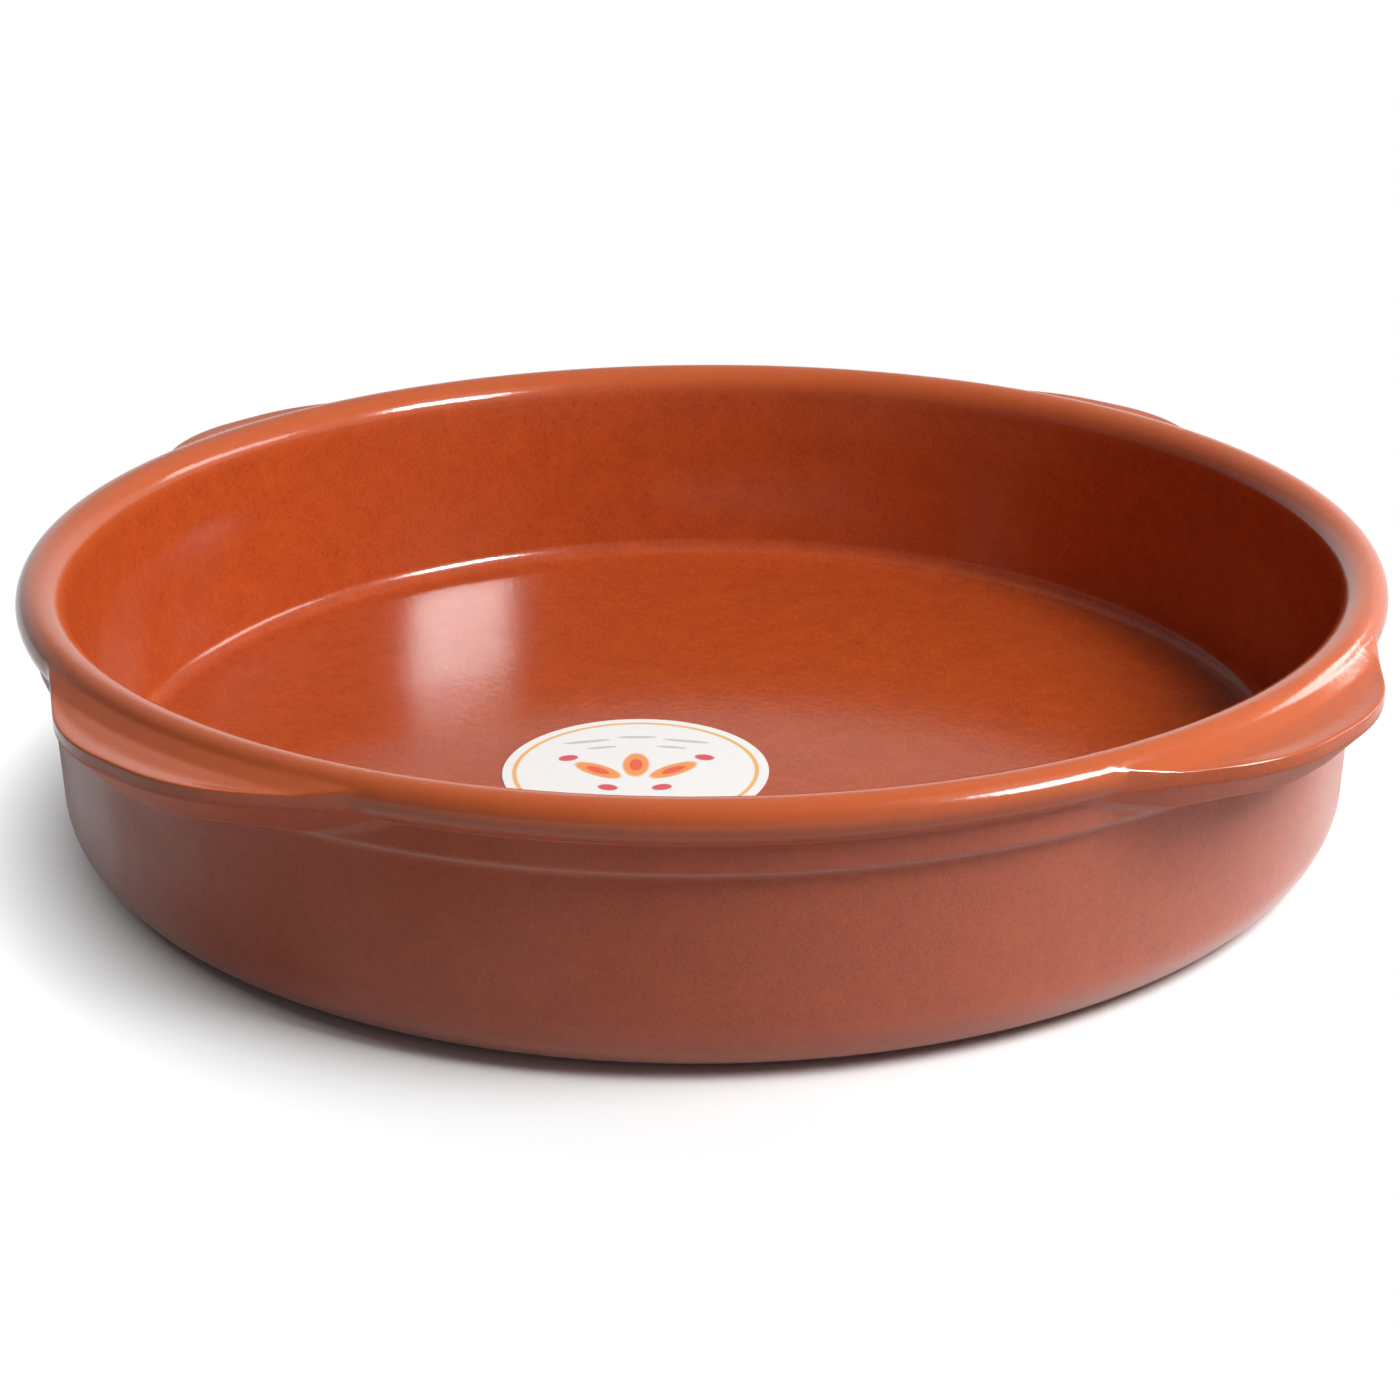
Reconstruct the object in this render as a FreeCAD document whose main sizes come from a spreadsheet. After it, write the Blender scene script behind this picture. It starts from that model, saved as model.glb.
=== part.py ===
import FreeCAD, Part
import math
import os
import Sketcher

# Round glazed earthenware cazuela with four lugs, and the paper sticker on its floor.
# Millimetres, +Z up. The origin is the middle of the flat base, and the lugs point along X and Y.

SIZES = (
    # the turned dish
    ("rim_diameter", 300.0),
    ("dish_height", 58.0),
    ("roll_radius", 4.1),
    ("rim_overhang", 5.5),
    ("wall_lean", 1.0),
    ("wall_near_rim", 6.05),
    ("wall_near_floor", 9.0),
    ("floor_thickness", 7.5),
    ("floor_fillet", 4.8),
    ("base_corner", 11.0),
    # the collar under the roll
    ("collar_drop", 13.8),
    ("collar_stand", 2.3),
    ("collar_flare", 0.6),
    ("collar_slope", 1.8),
    ("collar_edge", 1.0),
    ("collar_hollow", 2.0),
    ("roll_groove", 0.8),
    # the four lugs
    ("lug_count", 4),
    ("lug_reach", 11.4),
    ("lug_drop", 3.7),
    ("lug_face", 3.0),
    ("lug_root_width", 126.0),
    ("lug_front_width", 38.0),
    ("lug_corner", 44.0),
    ("lug_undercut", 6.0),
    ("lug_crest_round", 1.2),
    ("lug_face_round", 1.6),
    ("lug_under_round", 1.5),
    ("lug_join_round", 1.0),
    # the hollow slope from the roll down to each lug's ledge starts this deep inside the roll
    # and ends this far outside the rim
    ("slope_depth", 0.3),
    ("slope_run", 4.5),
    # the paper sticker
    ("sticker_diameter", 60.0),
    ("sticker_thickness", 0.2),
    ("sticker_x", 0.8),
    ("sticker_y", -23.4),
)

# which point of a line or an arc is meant
START, END, CENTRE = range(1, 4)
ORIGIN = (-1, START)

# millimetres within which two points are the same, and within which a point lies on a surface
TOUCH = 0.001
JOIN_GAP = 0.01

document = FreeCAD.newDocument("cazuela")


def make_sheet():
    sheet = document.addObject("Spreadsheet::Sheet", "sizes")
    for row, (name, value) in enumerate(SIZES, start=1):
        sheet.set("A%d" % row, name)
        sheet.set("B%d" % row, str(value))
        sheet.setAlias("B%d" % row, name)
    document.recompute()
    return sheet


def origin_feature(body, role):
    return next(part for part in body.Origin.OriginFeatures if part.Role == role)


def make_sketch(body, name, plane, height=None):
    sketch = body.newObject("Sketcher::SketchObject", name)
    sketch.AttachmentSupport = [(origin_feature(body, plane), "")]
    sketch.MapMode = "FlatFace"
    if height:
        sketch.setExpression("AttachmentOffset.Base.z", height)
    return sketch


def number(sketch, expression):
    return float(sketch.evalExpression(expression))


def bind(sketch, name, expression, kind, *geometry):
    """Add a named dimension whose value follows an expression of the sheet."""
    index = sketch.addConstraint(Sketcher.Constraint(kind, *geometry, number(sketch, expression)))
    sketch.renameConstraint(index, name)
    sketch.setExpression("Constraints." + name, expression)


def add_line(sketch, first, last):
    segment = Part.LineSegment(FreeCAD.Vector(*first, 0), FreeCAD.Vector(*last, 0))
    return sketch.addGeometry(segment, False)


def add_arc(sketch, centre, radius, start, end):
    circle = Part.Circle(FreeCAD.Vector(*centre, 0), FreeCAD.Vector(0, 0, 1), radius)
    return sketch.addGeometry(Part.ArcOfCircle(circle, math.radians(start), math.radians(end)), False)


def tangent(sketch, first, first_end, second, second_end):
    sketch.addConstraint(Sketcher.Constraint("Tangent", first, first_end, second, second_end))


def meet(sketch, first, first_end, second, second_end):
    sketch.addConstraint(Sketcher.Constraint("Coincident", first, first_end, second, second_end))


def corner(sketch, name, across, up, lines):
    """Fix the sharp corner, across and up from the origin, that the given lines aim at."""
    place = FreeCAD.Vector(number(sketch, across), number(sketch, up), 0)
    point = sketch.addGeometry(Part.Point(place), True)
    for line in lines:
        sketch.addConstraint(Sketcher.Constraint("PointOnObject", point, START, line))
    bind(sketch, name + "_across", across, "DistanceX", *ORIGIN, point, START)
    bind(sketch, name + "_up", up, "DistanceY", *ORIGIN, point, START)


# The section of the dish, from the axis out along the base, up the outside and back inside
WALL_TOP = "(sizes.rim_diameter / 2 - sizes.rim_overhang)"
WALL_FOOT = "(%s - sizes.wall_lean)" % WALL_TOP
COLLAR_LEVEL = "(sizes.dish_height - sizes.collar_drop)"
COLLAR_RADIUS = "(%s + sizes.collar_stand)" % WALL_TOP
CROWN_RADIUS = "(sizes.rim_diameter / 2 - sizes.roll_radius)"
ROLL_LEVEL = "(sizes.dish_height - sizes.roll_radius)"


def draw_section(body):
    sketch = make_sketch(body, "section", "XZ_Plane")
    wall_top = number(sketch, WALL_TOP)
    wall_foot = number(sketch, WALL_FOOT)
    collar_level = number(sketch, COLLAR_LEVEL)
    collar_radius = number(sketch, COLLAR_RADIUS)
    crown = number(sketch, CROWN_RADIUS)
    roll_level = number(sketch, ROLL_LEVEL)
    roll = number(sketch, "sizes.roll_radius")
    height = number(sketch, "sizes.dish_height")
    base = number(sketch, "sizes.base_corner")
    edge = number(sketch, "sizes.collar_edge")
    hollow = number(sketch, "sizes.collar_hollow")
    groove = number(sketch, "sizes.roll_groove")
    floor = number(sketch, "sizes.floor_thickness")
    fillet = number(sketch, "sizes.floor_fillet")
    slope = number(sketch, "sizes.collar_slope")
    face = collar_radius + number(sketch, "sizes.collar_flare")
    inner_foot = wall_foot - number(sketch, "sizes.wall_near_floor")
    inner_top = wall_top - number(sketch, "sizes.wall_near_rim")

    # the arcs start near their final places, and the dimensions below settle every join
    groove_x = face + groove
    reach = roll + groove
    groove_z = roll_level - math.sqrt(reach ** 2 - (groove_x - crown) ** 2)
    groove_angle = math.degrees(math.atan2(roll_level - groove_z, crown - groove_x))
    lip = crown - inner_top
    shelf_rise = math.degrees(math.atan2(slope, collar_radius - wall_top))
    inside_lean = math.degrees(math.atan2(inner_top - inner_foot, collar_level - floor))

    under = add_line(sketch, (0, 0), (wall_foot - base, 0))
    base_arc = add_arc(sketch, (wall_foot - base, base), base, -90, 0)
    wall = add_line(sketch, (wall_foot, base), (wall_top, collar_level - slope - hollow))
    hollow_arc = add_arc(sketch, (wall_top + hollow, collar_level - slope - hollow), hollow,
                         90 + shelf_rise, 180)
    shelf = add_line(sketch, (wall_top, collar_level - slope), (collar_radius, collar_level))
    edge_arc = add_arc(sketch, (collar_radius - edge, collar_level + edge), edge, shelf_rise - 90, 0)
    collar = add_line(sketch, (collar_radius, collar_level + edge), (face, groove_z))
    groove_arc = add_arc(sketch, (groove_x, groove_z), groove, groove_angle, 180)
    roll_arc = add_arc(sketch, (crown, roll_level), roll, groove_angle - 180, 90)
    lip_arc = add_arc(sketch, (crown, height - lip), lip, 90, 180 - inside_lean)
    inside = add_line(sketch, (inner_top, height - lip), (inner_foot, floor + fillet))
    fillet_arc = add_arc(sketch, (inner_foot - fillet, floor + fillet), fillet, -90, 0)
    floor_line = add_line(sketch, (inner_foot - fillet, floor), (0, floor))
    axis = add_line(sketch, (0, floor), (0, 0))

    tangent(sketch, under, END, base_arc, START)
    tangent(sketch, base_arc, END, wall, START)
    tangent(sketch, wall, END, hollow_arc, END)
    tangent(sketch, hollow_arc, START, shelf, START)
    tangent(sketch, shelf, END, edge_arc, START)
    tangent(sketch, edge_arc, END, collar, START)
    tangent(sketch, collar, END, groove_arc, END)
    tangent(sketch, groove_arc, START, roll_arc, START)
    tangent(sketch, roll_arc, END, lip_arc, START)
    tangent(sketch, lip_arc, END, inside, START)
    tangent(sketch, inside, END, fillet_arc, END)
    tangent(sketch, fillet_arc, START, floor_line, START)
    meet(sketch, floor_line, END, axis, START)
    meet(sketch, axis, END, under, START)
    meet(sketch, under, START, *ORIGIN)
    sketch.addConstraint(Sketcher.Constraint("Horizontal", under))
    sketch.addConstraint(Sketcher.Constraint("Horizontal", floor_line))
    sketch.addConstraint(Sketcher.Constraint("Vertical", axis))
    sketch.addConstraint(Sketcher.Constraint("Vertical", roll_arc, END, roll_arc, CENTRE))

    bind(sketch, "floor_up", "sizes.floor_thickness", "DistanceY", *ORIGIN, floor_line, END)
    bind(sketch, "roll_across", CROWN_RADIUS, "DistanceX", *ORIGIN, roll_arc, CENTRE)
    bind(sketch, "roll_up", ROLL_LEVEL, "DistanceY", *ORIGIN, roll_arc, CENTRE)
    rounds = (
        (base_arc, "base_corner"),
        (hollow_arc, "collar_hollow"),
        (edge_arc, "collar_edge"),
        (groove_arc, "roll_groove"),
        (roll_arc, "roll_radius"),
        (fillet_arc, "floor_fillet"),
    )
    for arc, name in rounds:
        bind(sketch, name, "sizes." + name, "Radius", arc)
    corner(sketch, "wall_foot", WALL_FOOT, "0", [wall])
    corner(sketch, "wall_top", WALL_TOP, COLLAR_LEVEL + " - sizes.collar_slope", [wall, shelf])
    corner(sketch, "collar_low", COLLAR_RADIUS, COLLAR_LEVEL, [shelf, collar])
    corner(sketch, "collar_high", COLLAR_RADIUS + " + sizes.collar_flare", ROLL_LEVEL, [collar])
    corner(sketch, "inner_foot", WALL_FOOT + " - sizes.wall_near_floor", "sizes.floor_thickness", [inside])
    corner(sketch, "inner_top", WALL_TOP + " - sizes.wall_near_rim", COLLAR_LEVEL, [inside])
    return sketch


# A lug in plan, seen from above with its middle on +X
RIM_RADIUS = "(sizes.rim_diameter / 2)"
LUG_TOP = "(sizes.dish_height - sizes.lug_drop)"
LUG_FACE_LEVEL = "(%s - sizes.lug_face)" % LUG_TOP
LUG_RADIUS = "(%s + sizes.lug_reach)" % RIM_RADIUS
LUG_ROOT_RADIUS = "(%s + sizes.collar_stand / 2)" % WALL_TOP
LUG_INNER_RADIUS = "(%s - sizes.wall_near_rim / 4)" % WALL_TOP

# the underside spans the same angle as the ledge, but starts deeper in the wall and is half as
# wide at the front
UNDER_RADIUS = "(%s - sizes.lug_undercut)" % LUG_RADIUS
UNDER_ROOT_RADIUS = "(%s - sizes.collar_stand / 4)" % WALL_TOP
UNDER_ROOT_WIDTH = "(sizes.lug_root_width * %s / %s)" % (UNDER_ROOT_RADIUS, LUG_ROOT_RADIUS)
UNDER_FRONT_WIDTH = "(sizes.lug_front_width / 2)"
UNDER_CORNER = "(sizes.lug_corner / 2)"

# the slope down to a lug's ledge starts inside the roll, halfway round from its crown to its side
SLOPE_START_REACH = "((sizes.roll_radius - sizes.slope_depth) / sqrt(2))"
SLOPE_START = "(%s + %s)" % (CROWN_RADIUS, SLOPE_START_REACH)
SLOPE_START_LEVEL = "(%s + %s)" % (ROLL_LEVEL, SLOPE_START_REACH)
SLOPE_END = "(%s + sizes.slope_run)" % RIM_RADIUS

# how far the cut above the lugs goes past them
CUT_PAST = 2.0

# the steeper a lug's sides are in plan, the less room they leave for the crest's rounding
CREST_ROUND = "min(sizes.lug_crest_round; (sizes.lug_root_width - sizes.lug_front_width) / 40)"


def draw_lug(body, name, level, front_radius, root_radius, root_width, front_width, rounding):
    sketch = make_sketch(body, name, "XY_Plane", level)
    front = number(sketch, front_radius)
    root = number(sketch, root_radius)
    inner = number(sketch, LUG_INNER_RADIUS)
    half_root = number(sketch, root_width) / 2
    half_front = number(sketch, front_width) / 2
    radius = number(sketch, rounding)
    root_angle = math.degrees(math.asin(half_root / root))
    front_angle = math.degrees(math.asin(half_front / front))
    root_point = (math.sqrt(root ** 2 - half_root ** 2), half_root)
    inner_point = (root_point[0] * inner / root, root_point[1] * inner / root)

    # the rounding touches the front arc from inside, and the side line
    front_point = (front * math.cos(math.radians(front_angle)), half_front)
    side_normal = math.degrees(math.atan2(front_point[0] - root_point[0], half_root - half_front))
    setback = radius * math.tan(math.radians(side_normal - front_angle) / 2)
    centre_radius = front - radius
    centre_angle = front_angle - math.degrees(setback / front)
    centre = (centre_radius * math.cos(math.radians(centre_angle)),
              centre_radius * math.sin(math.radians(centre_angle)))
    touch = (centre[0] + radius * math.cos(math.radians(side_normal)),
             centre[1] + radius * math.sin(math.radians(side_normal)))

    front_arc = add_arc(sketch, (0, 0), front, -centre_angle, centre_angle)
    left_arc = add_arc(sketch, centre, radius, centre_angle, side_normal)
    left_side = add_line(sketch, touch, root_point)
    left_end = add_line(sketch, root_point, inner_point)
    inner_arc = add_arc(sketch, (0, 0), inner, -root_angle, root_angle)
    right_end = add_line(sketch, (inner_point[0], -inner_point[1]), (root_point[0], -root_point[1]))
    right_side = add_line(sketch, (root_point[0], -root_point[1]), (touch[0], -touch[1]))
    right_arc = add_arc(sketch, (centre[0], -centre[1]), radius, -side_normal, -centre_angle)

    tangent(sketch, front_arc, END, left_arc, START)
    tangent(sketch, left_arc, END, left_side, START)
    meet(sketch, left_side, END, left_end, START)
    meet(sketch, left_end, END, inner_arc, END)
    meet(sketch, inner_arc, START, right_end, START)
    meet(sketch, right_end, END, right_side, START)
    tangent(sketch, right_side, END, right_arc, START)
    tangent(sketch, right_arc, END, front_arc, START)
    meet(sketch, front_arc, CENTRE, *ORIGIN)
    meet(sketch, inner_arc, CENTRE, *ORIGIN)
    bind(sketch, "front_radius", front_radius, "Radius", front_arc)
    bind(sketch, "inner_radius", LUG_INNER_RADIUS, "Radius", inner_arc)
    halves = (
        ("left", 1, left_arc, left_side, END, left_end),
        ("right", -1, right_arc, right_side, START, right_end),
    )
    for hand, sign, arc, side, side_root, end in halves:
        bind(sketch, hand + "_rounding", rounding, "Radius", arc)
        bind(sketch, hand + "_root", "%s / 2" % root_width if sign > 0 else "-%s / 2" % root_width,
             "DistanceY", *ORIGIN, side, side_root)
        bind(sketch, hand + "_root_radius", root_radius, "Distance", *ORIGIN, side, side_root)
        sketch.addConstraint(Sketcher.Constraint("PointOnObject", *ORIGIN, end))
        place = FreeCAD.Vector(front_point[0], sign * half_front, 0)
        aim = sketch.addGeometry(Part.Point(place), True)
        sketch.addConstraint(Sketcher.Constraint("PointOnObject", aim, START, side))
        sketch.addConstraint(Sketcher.Constraint("PointOnObject", aim, START, front_arc))
        bind(sketch, hand + "_front", "%s / 2" % front_width if sign > 0 else "-%s / 2" % front_width,
             "DistanceY", *ORIGIN, aim, START)
    return sketch


def draw_space_above(body):
    """What is cut off above the lugs: a hollow slope from inside the roll, then a level ledge."""
    sketch = make_sketch(body, "space_above", "XZ_Plane")
    start = number(sketch, SLOPE_START)
    start_level = number(sketch, SLOPE_START_LEVEL)
    end = number(sketch, SLOPE_END)
    ledge_level = number(sketch, LUG_TOP)
    past = number(sketch, LUG_RADIUS) + CUT_PAST
    above = start_level + CUT_PAST
    run = end - start
    rise = start_level - ledge_level
    bend = (run ** 2 + rise ** 2) / (2 * rise)
    steepest = math.degrees(math.asin(run / bend))

    slope = add_arc(sketch, (end, ledge_level + bend), bend, 270 - steepest, 270)
    ledge = add_line(sketch, (end, ledge_level), (past, ledge_level))
    outside = add_line(sketch, (past, ledge_level), (past, above))
    ceiling = add_line(sketch, (past, above), (start, above))
    inside = add_line(sketch, (start, above), (start, start_level))

    tangent(sketch, slope, END, ledge, START)
    meet(sketch, ledge, END, outside, START)
    meet(sketch, outside, END, ceiling, START)
    meet(sketch, ceiling, END, inside, START)
    meet(sketch, inside, END, slope, START)
    sketch.addConstraint(Sketcher.Constraint("Horizontal", ledge))
    sketch.addConstraint(Sketcher.Constraint("Horizontal", ceiling))
    sketch.addConstraint(Sketcher.Constraint("Vertical", outside))
    sketch.addConstraint(Sketcher.Constraint("Vertical", inside))
    bind(sketch, "start_across", SLOPE_START, "DistanceX", *ORIGIN, slope, START)
    bind(sketch, "start_up", SLOPE_START_LEVEL, "DistanceY", *ORIGIN, slope, START)
    bind(sketch, "end_across", SLOPE_END, "DistanceX", *ORIGIN, slope, END)
    bind(sketch, "ledge_up", LUG_TOP, "DistanceY", *ORIGIN, slope, END)
    bind(sketch, "past_across", "%s + %g" % (LUG_RADIUS, CUT_PAST), "DistanceX", *ORIGIN, outside, START)
    bind(sketch, "above_up", "%s + %g" % (SLOPE_START_LEVEL, CUT_PAST), "DistanceY", *ORIGIN, ceiling, END)
    return sketch


def edges_over(shape, outline_sketch, low, high):
    """Names of the shape's edges that follow the free sides of a lug's outline between two heights."""
    inner = number(outline_sketch, LUG_INNER_RADIUS)
    rim = number(outline_sketch, RIM_RADIUS)
    outline = outline_sketch.Shape
    free = [side for side in outline.Edges
            if min(math.hypot(end.X, end.Y) for end in side.Vertexes) > inner + TOUCH]
    level = outline.BoundBox.ZMin
    names = []
    for index, edge in enumerate(shape.Edges, start=1):
        box = edge.BoundBox
        upright = max(box.XLength, box.YLength) < TOUCH
        middle = edge.valueAt((edge.FirstParameter + edge.LastParameter) / 2)
        ends = [end.Point for end in edge.Vertexes]
        between = all(low - TOUCH < point.z < high + TOUCH for point in ends + [middle])
        buried = max(math.hypot(point.x, point.y) for point in ends) < rim
        if upright or buried or not between:
            continue
        plan = [Part.Vertex(point.x, point.y, level) for point in ends + [middle]]
        if any(all(side.distToShape(point)[0] < TOUCH for point in plan) for side in free):
            names.append("Edge%d" % index)
    return names


def edges_where_they_meet(joined, turned, lugs):
    """Names of the joined shape's edges along which the lugs come out of the turned dish."""
    def gap(parts, point):
        return min(part.distToShape(point)[0] for part in parts)

    names = []
    for index, edge in enumerate(joined.Edges, start=1):
        middle = Part.Vertex(edge.valueAt((edge.FirstParameter + edge.LastParameter) / 2))
        own = gap(turned.Edges, middle) < JOIN_GAP
        if not own and gap(turned.Shells, middle) < JOIN_GAP and gap(lugs.Shells, middle) < JOIN_GAP:
            names.append("Edge%d" % index)
    return names


def round_edges(body, name, base, edges, radius):
    fillet = body.newObject("PartDesign::Fillet", name)
    fillet.Base = (base, edges)
    fillet.setExpression("Radius", radius)
    document.recompute()
    return fillet


def make_lugs():
    """The four lugs: ledge, drafted underside and hollow slope, rounded, then set around the rim."""
    body = document.addObject("PartDesign::Body", "lugs")
    ledge_outline = draw_lug(body, "lug_outline", LUG_FACE_LEVEL, LUG_RADIUS, LUG_ROOT_RADIUS,
                             "sizes.lug_root_width", "sizes.lug_front_width", "sizes.lug_corner")
    under_outline = draw_lug(body, "lug_under_outline", COLLAR_LEVEL, UNDER_RADIUS, UNDER_ROOT_RADIUS,
                             UNDER_ROOT_WIDTH, UNDER_FRONT_WIDTH, UNDER_CORNER)
    ledge = body.newObject("PartDesign::Pad", "lug_ledge")
    ledge.Profile = ledge_outline
    ledge.setExpression("Length", "%s - %s" % (SLOPE_START_LEVEL, LUG_FACE_LEVEL))
    under = body.newObject("PartDesign::AdditiveLoft", "lug_underside")
    under.Profile = ledge_outline
    under.Sections = [under_outline]
    under.Ruled = True
    hollow = body.newObject("PartDesign::Groove", "hollow_slope")
    hollow.Profile = draw_space_above(body)
    hollow.ReferenceAxis = (hollow.Profile[0], ["V_Axis"])
    hollow.Angle = 360
    document.recompute()

    ledge_level = number(ledge_outline, LUG_TOP)
    slope_level = number(ledge_outline, SLOPE_START_LEVEL)
    face_level = number(ledge_outline, LUG_FACE_LEVEL)
    collar_level = number(ledge_outline, COLLAR_LEVEL)
    crest = round_edges(body, "rounded_crest", hollow,
                        edges_over(hollow.Shape, ledge_outline, ledge_level, slope_level),
                        CREST_ROUND)
    face = round_edges(body, "rounded_face", crest,
                       edges_over(crest.Shape, ledge_outline, face_level, face_level),
                       "sizes.lug_face_round")
    lower = round_edges(body, "rounded_underside", face,
                        edges_over(face.Shape, under_outline, collar_level, collar_level),
                        "sizes.lug_under_round")
    around = body.newObject("PartDesign::PolarPattern", "four_lugs")
    around.TransformMode = "Whole shape"
    around.Axis = (origin_feature(body, "Z_Axis"), [""])
    around.Angle = 360
    around.setExpression("Occurrences", "sizes.lug_count")
    body.Tip = around
    document.recompute()
    return body


def make_dish():
    body = document.addObject("PartDesign::Body", "cazuela")
    body.Label = "cazuela"
    turned = body.newObject("PartDesign::Revolution", "turned_dish")
    turned.Profile = draw_section(body)
    turned.ReferenceAxis = (turned.Profile[0], ["V_Axis"])
    turned.Angle = 360
    lugs = make_lugs()
    joined = body.newObject("PartDesign::Boolean", "dish_with_lugs")
    joined.Type = "Fuse"
    joined.setObjects([lugs])
    document.recompute()
    round_edges(body, "rounded_joins", joined,
                edges_where_they_meet(joined.Shape, turned.Shape, lugs.Shape), "sizes.lug_join_round")
    return body


def make_sticker():
    body = document.addObject("PartDesign::Body", "sticker")
    body.Label = "sticker"
    sketch = make_sketch(body, "sticker_outline", "XY_Plane")
    circle = Part.Circle(FreeCAD.Vector(0, 0, 0), FreeCAD.Vector(0, 0, 1), 1)
    outline = sketch.addGeometry(circle, False)
    meet(sketch, outline, CENTRE, *ORIGIN)
    bind(sketch, "sticker_round", "sizes.sticker_diameter / 2", "Radius", outline)
    paper = body.newObject("PartDesign::Pad", "paper")
    paper.Profile = sketch
    paper.setExpression("Length", "sizes.sticker_thickness")
    body.setExpression("Placement.Base.x", "sizes.sticker_x")
    body.setExpression("Placement.Base.y", "sizes.sticker_y")
    body.setExpression("Placement.Base.z", "sizes.floor_thickness")
    return body


def check_document():
    for part in document.Objects:
        if "Invalid" in part.State or "Error" in part.State:
            raise RuntimeError("%s failed: %s" % (part.Name, part.State))


def write_parts(bodies):
    os.makedirs("parts", exist_ok=True)
    for body in bodies:
        shape = body.Shape
        if shape.isNull() or not shape.isValid() or not shape.Solids:
            raise RuntimeError("%s has no valid solid" % body.Label)
        shape.exportStep(os.path.join("parts", body.Label + ".step"))
        print(body.Label, "volume", round(shape.Volume), "faces", len(shape.Faces))


make_sheet()
bodies = [make_dish(), make_sticker()]
document.recompute()
check_document()
write_parts(bodies)
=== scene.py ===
import math

import bpy
import numpy
from mathutils import Matrix, Vector


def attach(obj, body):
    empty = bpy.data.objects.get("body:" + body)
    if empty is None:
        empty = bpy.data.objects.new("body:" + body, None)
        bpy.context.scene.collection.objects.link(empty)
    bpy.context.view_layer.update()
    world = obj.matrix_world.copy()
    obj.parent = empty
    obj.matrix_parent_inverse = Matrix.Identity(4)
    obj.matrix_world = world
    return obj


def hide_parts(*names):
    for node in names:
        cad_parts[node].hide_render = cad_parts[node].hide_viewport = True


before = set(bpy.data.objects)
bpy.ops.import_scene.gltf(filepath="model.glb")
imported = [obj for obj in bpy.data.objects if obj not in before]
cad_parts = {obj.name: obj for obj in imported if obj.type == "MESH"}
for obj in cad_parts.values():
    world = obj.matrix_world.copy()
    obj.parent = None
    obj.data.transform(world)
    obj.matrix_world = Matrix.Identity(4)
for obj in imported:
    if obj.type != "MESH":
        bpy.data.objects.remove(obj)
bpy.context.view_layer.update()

# The part's lugs lie on its X and Y axes. In the photograph's own frame the camera looks along +Y,
# and the part is turned by this angle from it.
PART_TURN = math.radians(42.0)


def from_photo(x, y, z):
    """A point of the photograph's frame, in metres, as a point of the part's frame."""
    return Matrix.Rotation(PART_TURN, 3, "Z") @ Vector((x, y, z))


# Camera: fitted to the ellipses of the rim, the base and the floor in the photograph, with its eye
# in metres in the photograph's frame

EYE = (0.0, -0.5560, 0.2428)
PITCH_DOWN = math.radians(22.071)
YAW = math.radians(-0.053)
ROLL = math.radians(-0.3125)
FOCAL_PIXELS = 2607.0
FRAME_PIXELS = 1400.0
SENSOR_MM = 36.0


def make_camera():
    data = bpy.data.cameras.new("camera")
    data.sensor_width = SENSOR_MM
    data.lens = FOCAL_PIXELS / FRAME_PIXELS * SENSOR_MM
    data.clip_start = 0.01
    data.clip_end = 50.0
    camera = bpy.data.objects.new("camera", data)
    bpy.context.scene.collection.objects.link(camera)

    forward = from_photo(math.sin(YAW) * math.cos(PITCH_DOWN),
                         math.cos(YAW) * math.cos(PITCH_DOWN),
                         -math.sin(PITCH_DOWN))
    level_right = from_photo(math.cos(YAW), -math.sin(YAW), 0.0)
    level_up = level_right.cross(forward)
    right = math.cos(ROLL) * level_right + math.sin(ROLL) * level_up
    up = math.cos(ROLL) * level_up - math.sin(ROLL) * level_right
    axes = Matrix((right, up, -forward)).transposed()
    camera.matrix_world = Matrix.Translation(from_photo(*EYE)) @ axes.to_4x4()
    bpy.context.scene.camera = camera


# Dish: its section, in millimetres across from the axis and up from the base. The inside wall is
# two straight lines that meet at the bend, so that it leans out a little more near its top.

MM = 0.001
HEIGHT = 58.0
ROLL_RADIUS = 4.1
ROLL_ACROSS = 150.0 - ROLL_RADIUS
ROLL_LEVEL = HEIGHT - ROLL_RADIUS
FOOT_ACROSS = 143.5
COLLAR_LEVEL = 44.2
WALL_TOP = (144.5, 42.4)
COLLAR_LOW = (146.8, COLLAR_LEVEL)
COLLAR_HIGH = (147.4, ROLL_LEVEL)
INSIDE_FOOT = (134.5, 7.5)
INSIDE_BEND = (137.94, 39.5)
INSIDE_TOP = (138.62, COLLAR_LEVEL)
BASE_CORNER = 11.0
COLLAR_HOLLOW = 2.0
COLLAR_EDGE = 1.0
FLOOR_FILLET = 4.8
BEND_RADIUS = 60.0

# The lugs: levels of the face's lower edge and of the ledge, and the slope down to the ledge, which
# has a hollow at its foot. The slope starts this deep in the roll, 45 degrees up from its middle.
LUGS = 4
FACE_LEVEL = 51.3
LEDGE_LEVEL = 54.3
SLOPE_FOOT = 152.7
SLOPE_DEPTH = 0.3
HOLLOW_RADIUS = 2.0
SLOPE_START = (ROLL_ACROSS + (ROLL_RADIUS - SLOPE_DEPTH) * math.sqrt(0.5),
               ROLL_LEVEL + (ROLL_RADIUS - SLOPE_DEPTH) * math.sqrt(0.5))
SLOPE_ANGLE = math.atan((SLOPE_START[1] - LEDGE_LEVEL) / (SLOPE_FOOT - SLOPE_START[0]))

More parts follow.
